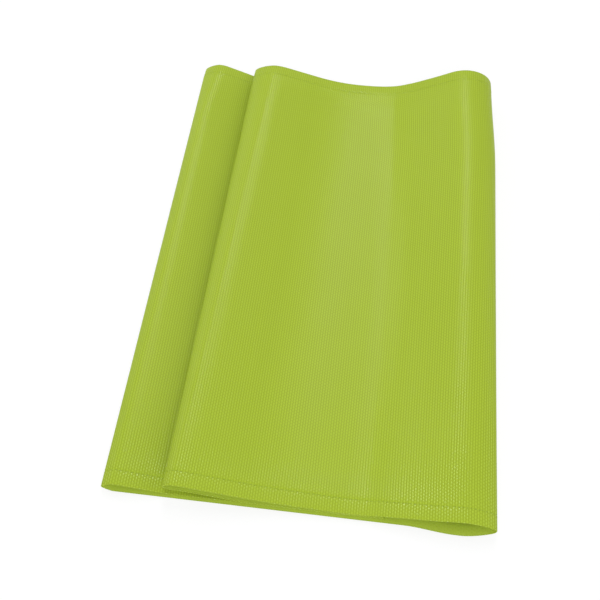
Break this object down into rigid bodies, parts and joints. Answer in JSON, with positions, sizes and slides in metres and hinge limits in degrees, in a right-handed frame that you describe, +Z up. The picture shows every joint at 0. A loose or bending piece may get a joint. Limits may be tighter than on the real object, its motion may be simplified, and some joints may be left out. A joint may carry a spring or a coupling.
{
  "type": "knitted filter sleeve",
  "caption": "Ribbed stretch-knit tube, open and hemmed at both mouths, laid flat with one pleat; slips over a round filter as its outer cover.",
  "frame": {"origin": "middle of the footprint, on the surface that the under ply lies on", "axes": "+Z up; +X across the sleeve from the left crease to the right roll; +Y along the sleeve from the near mouth to the far mouth"},
  "size_m": [0.3, 0.454, 0.038],
  "materials": {
    "knit": "lime green ribbed polyester warp knit, soft satin lustre on the ribs",
    "thread": "matching lime green polyester sewing thread"
  },
  "bodies": {
    "root": {"knit_panel": "knit", "near_hem": "knit", "far_hem": "knit", "near_hem_stitching": "thread", "far_hem_stitching": "thread", "near_hem_overlock": "thread", "far_hem_overlock": "thread", "seam_allowance": "knit", "seam_stitching": "thread", "seam_overlock": "thread"}
  },
  "joints": []
}
